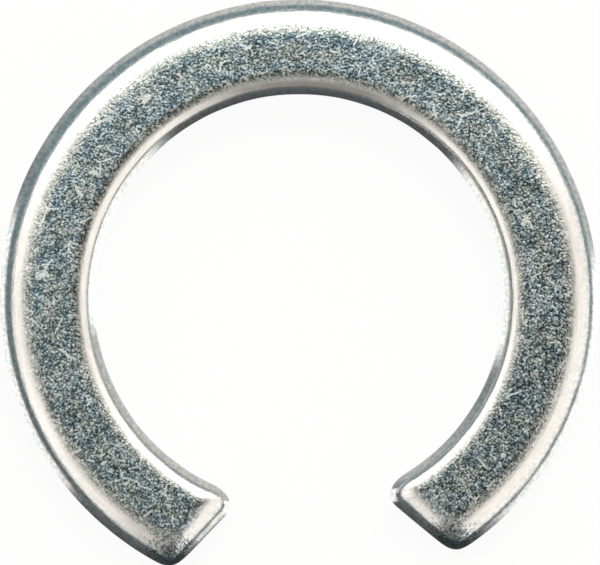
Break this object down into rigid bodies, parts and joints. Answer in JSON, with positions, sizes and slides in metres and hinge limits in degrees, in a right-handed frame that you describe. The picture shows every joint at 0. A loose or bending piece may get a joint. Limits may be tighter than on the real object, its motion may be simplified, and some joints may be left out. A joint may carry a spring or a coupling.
{
  "type": "external retaining ring",
  "caption": "Round-edged flat-wire retaining ring without lugs, open in a V, that springs into a groove on a shaft.",
  "frame": {"origin": "on the ring's axis, halfway between its two flat faces", "axes": "+Z along the ring's axis, +X across the gap and -Y out through it, so the ring is mirror-symmetric left to right"},
  "size_m": [0.017, 0.0158, 0.0018],
  "materials": {
    "zinc_plate": "bright zinc plate on spring steel, finely pitted by tumbling"
  },
  "bodies": {
    "root": {"ring": "zinc_plate"}
  },
  "joints": []
}
